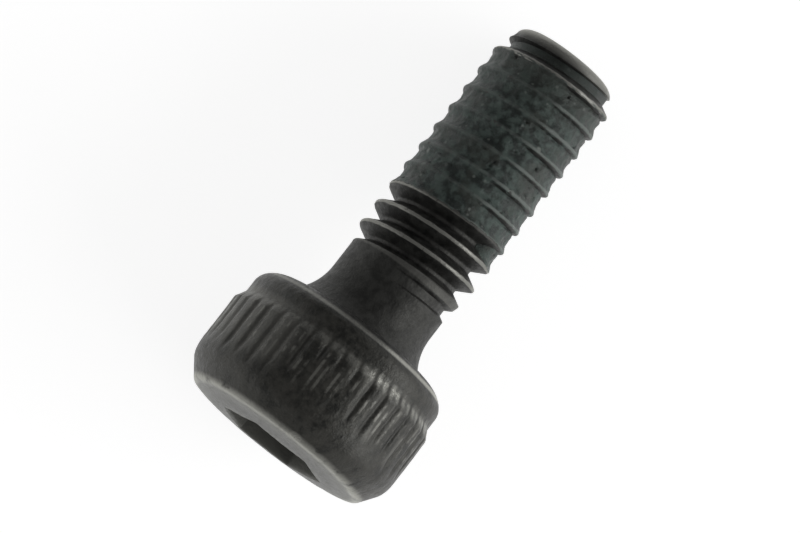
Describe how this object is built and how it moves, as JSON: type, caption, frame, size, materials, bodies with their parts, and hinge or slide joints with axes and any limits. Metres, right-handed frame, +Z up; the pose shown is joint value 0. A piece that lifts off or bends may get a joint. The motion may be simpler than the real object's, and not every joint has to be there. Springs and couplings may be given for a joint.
{
  "type": "hex socket head cap screw",
  "caption": "Dark steel socket head cap screw with a knurled head, a hex socket, a filleted neck and a rolled thread that carries a dried thread-locking patch.",
  "frame": {"origin": "middle of the box's bottom face, on the floor that the screw lies on", "axes": "+Z up; +X towards the head and the socket, with the screw's axis in the XZ plane and sloping down towards the tip at -X"},
  "size_m": [0.0144, 0.0068, 0.0071],
  "materials": {
    "steel": "dark oxide, satin, slightly worn on its edges",
    "patch": "dried adhesive film, grainy, dark blue-green"
  },
  "bodies": {
    "root": {"screw": "steel", "thread_lock_patch": "patch"}
  },
  "joints": []
}
